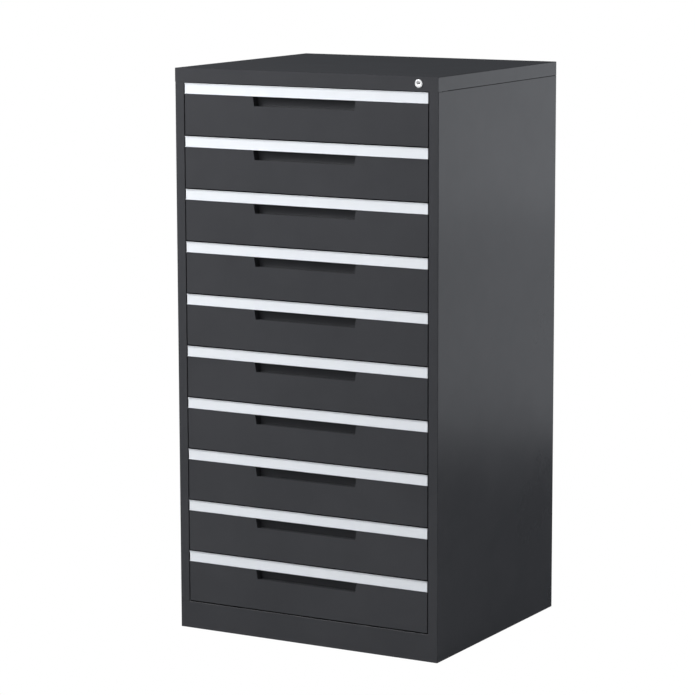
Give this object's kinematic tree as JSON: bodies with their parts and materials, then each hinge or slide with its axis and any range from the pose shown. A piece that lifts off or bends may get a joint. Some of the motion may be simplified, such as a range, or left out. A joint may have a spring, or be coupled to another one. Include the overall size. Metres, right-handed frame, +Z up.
{
  "type": "drawer cabinet",
  "caption": "Tall steel cabinet with a column of shallow full-extension drawers, label strips, recessed pulls and one lock that bolts every drawer.",
  "frame": {"origin": "centre of the footprint, on the floor", "axes": "+Z up, the drawers open towards -Y, +X to the right of a person facing them"},
  "size_m": [0.7, 0.612, 1.35],
  "materials": {
    "painted_steel": "fine-textured powder coat",
    "label_strip": "pale satin",
    "runner_steel": "bright zinc",
    "lock_chrome": "polished"
  },
  "bodies": {
    "cabinet": {"left_side_panel": "painted_steel", "right_side_panel": "painted_steel", "top_cover": "painted_steel", "top_rail": "painted_steel", "base_pan": "painted_steel", "rear_panel": "painted_steel", "cabinet_runners": "runner_steel", "lock_barrel": "lock_chrome"},
    "lock_plug": {"lock_plug": "lock_chrome"},
    "lock_bar": {"lock_bar": "runner_steel"},
    "drawer_01": {"drawer_01_front": "painted_steel", "drawer_01_tray": "painted_steel", "drawer_01_label_strip": "label_strip", "drawer_01_runners": "runner_steel"},
    "middle_01": {"drawer_01_middle_runners": "runner_steel"},
    "drawer_02": {"drawer_02_front": "painted_steel", "drawer_02_tray": "painted_steel", "drawer_02_label_strip": "label_strip", "drawer_02_runners": "runner_steel"},
    "middle_02": {"drawer_02_middle_runners": "runner_steel"},
    "drawer_03": {"drawer_03_front": "painted_steel", "drawer_03_tray": "painted_steel", "drawer_03_label_strip": "label_strip", "drawer_03_runners": "runner_steel"},
    "middle_03": {"drawer_03_middle_runners": "runner_steel"},
    "drawer_04": {"drawer_04_front": "painted_steel", "drawer_04_tray": "painted_steel", "drawer_04_label_strip": "label_strip", "drawer_04_runners": "runner_steel"},
    "middle_04": {"drawer_04_middle_runners": "runner_steel"},
    "drawer_05": {"drawer_05_front": "painted_steel", "drawer_05_tray": "painted_steel", "drawer_05_label_strip": "label_strip", "drawer_05_runners": "runner_steel"},
    "middle_05": {"drawer_05_middle_runners": "runner_steel"},
    "drawer_06": {"drawer_06_front": "painted_steel", "drawer_06_tray": "painted_steel", "drawer_06_label_strip": "label_strip", "drawer_06_runners": "runner_steel"},
    "middle_06": {"drawer_06_middle_runners": "runner_steel"},
    "drawer_07": {"drawer_07_front": "painted_steel", "drawer_07_tray": "painted_steel", "drawer_07_label_strip": "label_strip", "drawer_07_runners": "runner_steel"},
    "middle_07": {"drawer_07_middle_runners": "runner_steel"},
    "drawer_08": {"drawer_08_front": "painted_steel", "drawer_08_tray": "painted_steel", "drawer_08_label_strip": "label_strip", "drawer_08_runners": "runner_steel"},
    "middle_08": {"drawer_08_middle_runners": "runner_steel"},
    "drawer_09": {"drawer_09_front": "painted_steel", "drawer_09_tray": "painted_steel", "drawer_09_label_strip": "label_strip", "drawer_09_runners": "runner_steel"},
    "middle_09": {"drawer_09_middle_runners": "runner_steel"},
    "drawer_10": {"drawer_10_front": "painted_steel", "drawer_10_tray": "painted_steel", "drawer_10_label_strip": "label_strip", "drawer_10_runners": "runner_steel"},
    "middle_10": {"drawer_10_middle_runners": "runner_steel"}
  },
  "joints": [
    {"name": "lock_turn", "type": "hinge", "parent": "cabinet", "child": "lock_plug", "pos_m": [0.3, -0.305, 1.3345], "axis": [0, 1, 0], "range_deg": [0, 90]},
    {"name": "lock_bar_lift", "type": "slide", "parent": "cabinet", "child": "lock_bar", "axis": [0, 0, 1], "range_m": [0, 0.0128]},
    {"name": "drawer_01_slide", "type": "slide", "parent": "cabinet", "child": "drawer_01", "axis": [0, -1, 0], "range_m": [0, 0.54]},
    {"name": "middle_01_slide", "type": "slide", "parent": "cabinet", "child": "middle_01", "axis": [0, -1, 0], "range_m": [0, 0.27]},
    {"name": "drawer_02_slide", "type": "slide", "parent": "cabinet", "child": "drawer_02", "axis": [0, -1, 0], "range_m": [0, 0.54]},
    {"name": "middle_02_slide", "type": "slide", "parent": "cabinet", "child": "middle_02", "axis": [0, -1, 0], "range_m": [0, 0.27]},
    {"name": "drawer_03_slide", "type": "slide", "parent": "cabinet", "child": "drawer_03", "axis": [0, -1, 0], "range_m": [0, 0.54]},
    {"name": "middle_03_slide", "type": "slide", "parent": "cabinet", "child": "middle_03", "axis": [0, -1, 0], "range_m": [0, 0.27]},
    {"name": "drawer_04_slide", "type": "slide", "parent": "cabinet", "child": "drawer_04", "axis": [0, -1, 0], "range_m": [0, 0.54]},
    {"name": "middle_04_slide", "type": "slide", "parent": "cabinet", "child": "middle_04", "axis": [0, -1, 0], "range_m": [0, 0.27]},
    {"name": "drawer_05_slide", "type": "slide", "parent": "cabinet", "child": "drawer_05", "axis": [0, -1, 0], "range_m": [0, 0.54]},
    {"name": "middle_05_slide", "type": "slide", "parent": "cabinet", "child": "middle_05", "axis": [0, -1, 0], "range_m": [0, 0.27]},
    {"name": "drawer_06_slide", "type": "slide", "parent": "cabinet", "child": "drawer_06", "axis": [0, -1, 0], "range_m": [0, 0.54]},
    {"name": "middle_06_slide", "type": "slide", "parent": "cabinet", "child": "middle_06", "axis": [0, -1, 0], "range_m": [0, 0.27]},
    {"name": "drawer_07_slide", "type": "slide", "parent": "cabinet", "child": "drawer_07", "axis": [0, -1, 0], "range_m": [0, 0.54]},
    {"name": "middle_07_slide", "type": "slide", "parent": "cabinet", "child": "middle_07", "axis": [0, -1, 0], "range_m": [0, 0.27]},
    {"name": "drawer_08_slide", "type": "slide", "parent": "cabinet", "child": "drawer_08", "axis": [0, -1, 0], "range_m": [0, 0.54]},
    {"name": "middle_08_slide", "type": "slide", "parent": "cabinet", "child": "middle_08", "axis": [0, -1, 0], "range_m": [0, 0.27]},
    {"name": "drawer_09_slide", "type": "slide", "parent": "cabinet", "child": "drawer_09", "axis": [0, -1, 0], "range_m": [0, 0.54]},
    {"name": "middle_09_slide", "type": "slide", "parent": "cabinet", "child": "middle_09", "axis": [0, -1, 0], "range_m": [0, 0.27]},
    {"name": "drawer_10_slide", "type": "slide", "parent": "cabinet", "child": "drawer_10", "axis": [0, -1, 0], "range_m": [0, 0.54]},
    {"name": "middle_10_slide", "type": "slide", "parent": "cabinet", "child": "middle_10", "axis": [0, -1, 0], "range_m": [0, 0.27]}
  ],
  "couplings": [
    {"joint": "lock_turn", "follows": "lock_bar_lift", "rad_per_m": 122.7},
    {"joint": "middle_01_slide", "follows": "drawer_01_slide", "ratio": 0.5},
    {"joint": "middle_02_slide", "follows": "drawer_02_slide", "ratio": 0.5},
    {"joint": "middle_03_slide", "follows": "drawer_03_slide", "ratio": 0.5},
    {"joint": "middle_04_slide", "follows": "drawer_04_slide", "ratio": 0.5},
    {"joint": "middle_05_slide", "follows": "drawer_05_slide", "ratio": 0.5},
    {"joint": "middle_06_slide", "follows": "drawer_06_slide", "ratio": 0.5},
    {"joint": "middle_07_slide", "follows": "drawer_07_slide", "ratio": 0.5},
    {"joint": "middle_08_slide", "follows": "drawer_08_slide", "ratio": 0.5},
    {"joint": "middle_09_slide", "follows": "drawer_09_slide", "ratio": 0.5},
    {"joint": "middle_10_slide", "follows": "drawer_10_slide", "ratio": 0.5}
  ]
}
